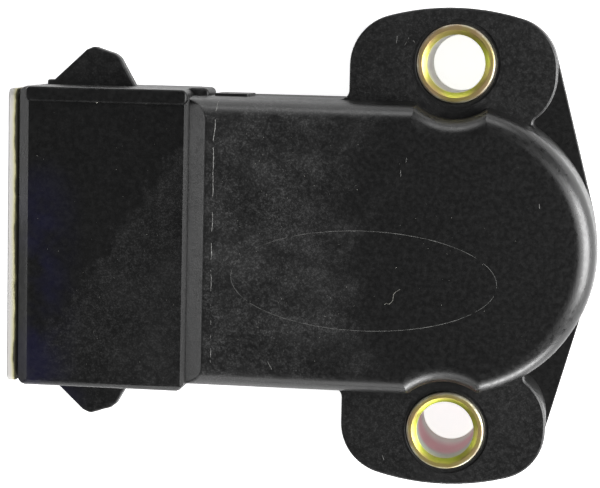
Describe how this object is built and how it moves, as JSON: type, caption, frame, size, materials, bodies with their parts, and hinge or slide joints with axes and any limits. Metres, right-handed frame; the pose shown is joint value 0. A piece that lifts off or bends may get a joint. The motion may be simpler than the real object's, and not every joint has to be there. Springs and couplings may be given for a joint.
{
  "type": "throttle position sensor",
  "caption": "Rotary throttle position sensor: black moulded housing with two screw ears, metal bushings, a sprung rotor and a three-pin connector.",
  "frame": {"origin": "on the rotor axis, in the plane of the mounting face, midway between the two screw holes", "axes": "+Z away from the throttle body, -X towards the mouth of the connector, the screw holes lie on the Y axis"},
  "size_m": [0.0548, 0.0442, 0.014],
  "materials": {
    "moulding": "satin black glass-filled polyester, moulded",
    "plate_moulding": "satin black glass-filled polyester, moulded",
    "passivated_zinc": "zinc plated steel, yellow passivated",
    "pale_seal": "matt pale grey silicone",
    "rotor_moulding": "natural moulded acetal",
    "spring_steel": "bright spring steel",
    "bronze": "sintered bronze",
    "seal_rubber": "black nitrile rubber",
    "contact_bronze": "rolled phosphor bronze",
    "board": "green glass-fibre laminate",
    "carbon_ink": "screen printed carbon ink",
    "silver_ink": "screen printed silver ink",
    "tinned_brass": "tin plated brass"
  },
  "bodies": {
    "root": {"housing": "moulding", "back_plate": "plate_moulding", "bushing_upper": "passivated_zinc", "bushing_lower": "passivated_zinc", "mouth_seal": "pale_seal", "rotor_bush": "bronze", "rotor_seal": "seal_rubber", "face_seal": "seal_rubber", "housing_seal": "seal_rubber", "thrust_washer": "spring_steel", "return_spring": "spring_steel", "track_board": "board", "resistive_track": "carbon_ink", "silver_tracks": "silver_ink", "terminal_supply": "tinned_brass", "terminal_ground": "tinned_brass", "terminal_signal": "tinned_brass", "contact_spring_supply": "contact_bronze", "contact_spring_ground": "contact_bronze", "contact_spring_signal": "contact_bronze"},
    "rotor": {"rotor": "rotor_moulding", "drive_clip": "spring_steel", "wiper": "contact_bronze"}
  },
  "joints": [
    {"name": "rotor_turn", "type": "hinge", "parent": "root", "child": "rotor", "pos_m": [0, 0, 0], "axis": [0, 0, 1], "range_deg": [0, 95], "stiffness_Nm_per_rad": 0.02, "springref_deg": -20.05, "deforming": ["return_spring"]}
  ]
}
